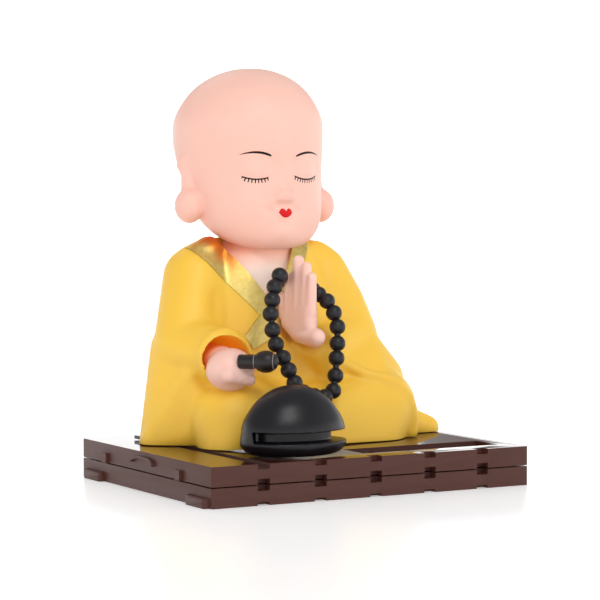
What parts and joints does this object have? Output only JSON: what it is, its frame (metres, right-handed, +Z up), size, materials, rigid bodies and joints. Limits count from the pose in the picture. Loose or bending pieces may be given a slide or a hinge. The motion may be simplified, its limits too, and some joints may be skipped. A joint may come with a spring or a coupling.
{
  "type": "seated monk figurine",
  "caption": "Toy child monk in a yellow robe, seated on a brown slatted stand, with a mallet, prayer beads and a black wooden-fish drum.",
  "frame": {"origin": "centre of the stand's underside", "axes": "+Z up, the figure faces -Y, +X towards the figure's left hand"},
  "size_m": [0.1027, 0.0919, 0.1183],
  "materials": {
    "stand_lower": "satin moulded brown plastic",
    "stand_upper": "brown plastic, polished on top and satin on its sides",
    "panel": "glossy black",
    "robe": "matte yellow with gold foil on the lapels",
    "skin_chest": "soft satin skin colour",
    "skin_head": "soft satin skin colour with painted brows, lashes and lips",
    "skin_right_hand": "soft satin skin colour",
    "skin_left_hand": "soft satin skin colour",
    "mallet": "satin dark brown-black",
    "beads": "matte black",
    "drum": "satin black"
  },
  "bodies": {
    "root": {"base_lower_plate": "stand_lower", "base_upper_plate": "stand_upper", "solar_panel": "panel", "robe": "robe", "neck_and_chest": "skin_chest", "head": "skin_head", "right_hand": "skin_right_hand", "left_hand": "skin_left_hand", "mallet": "mallet", "prayer_beads": "beads", "wooden_fish": "drum"}
  },
  "joints": []
}
